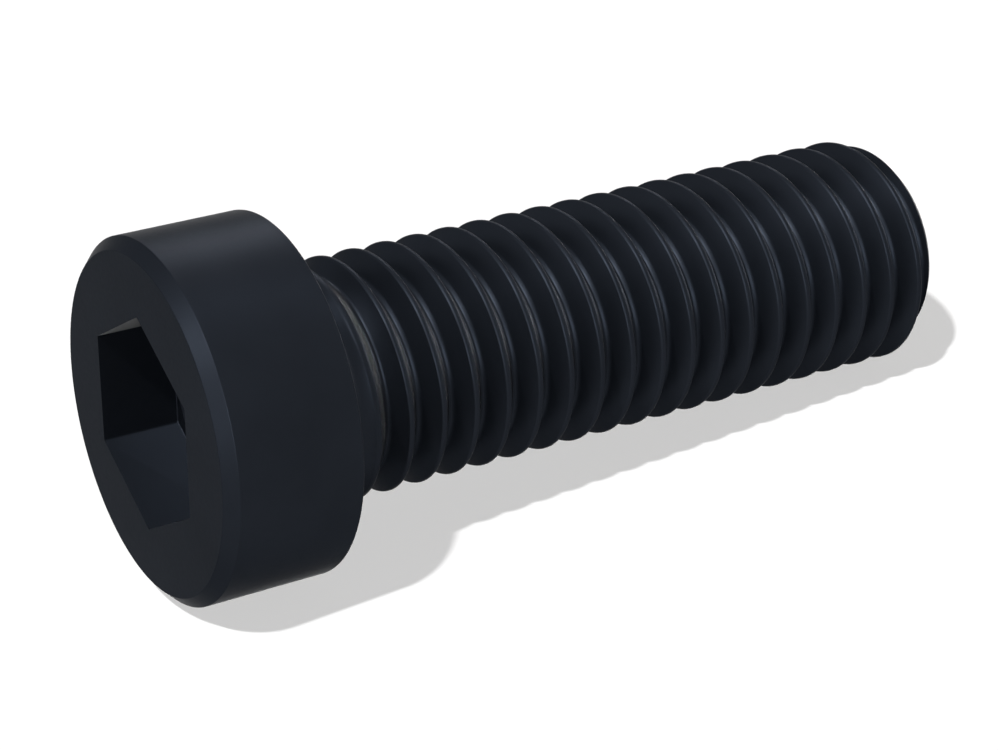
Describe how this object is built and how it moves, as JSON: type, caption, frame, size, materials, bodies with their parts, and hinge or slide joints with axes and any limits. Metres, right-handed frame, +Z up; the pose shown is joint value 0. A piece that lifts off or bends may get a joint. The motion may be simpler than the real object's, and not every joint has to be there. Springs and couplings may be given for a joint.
{
  "type": "low head socket cap screw",
  "caption": "Low head cap screw: flat cylindrical head with a hexagon socket, fully threaded shank with a chamfered tip, lying on its side.",
  "frame": {"origin": "on the screw's axis, in the plane of the bearing face under the head", "axes": "+Z up from the surface that the screw lies on, +X along the screw towards the tip, which dips 4.85 degrees because the head and the thread both touch that surface"},
  "size_m": [0.0368, 0.015, 0.0154],
  "materials": {
    "black_oxide_steel": "black oxide on alloy steel, satin"
  },
  "bodies": {
    "root": {"cap_screw": "black_oxide_steel"}
  },
  "joints": []
}
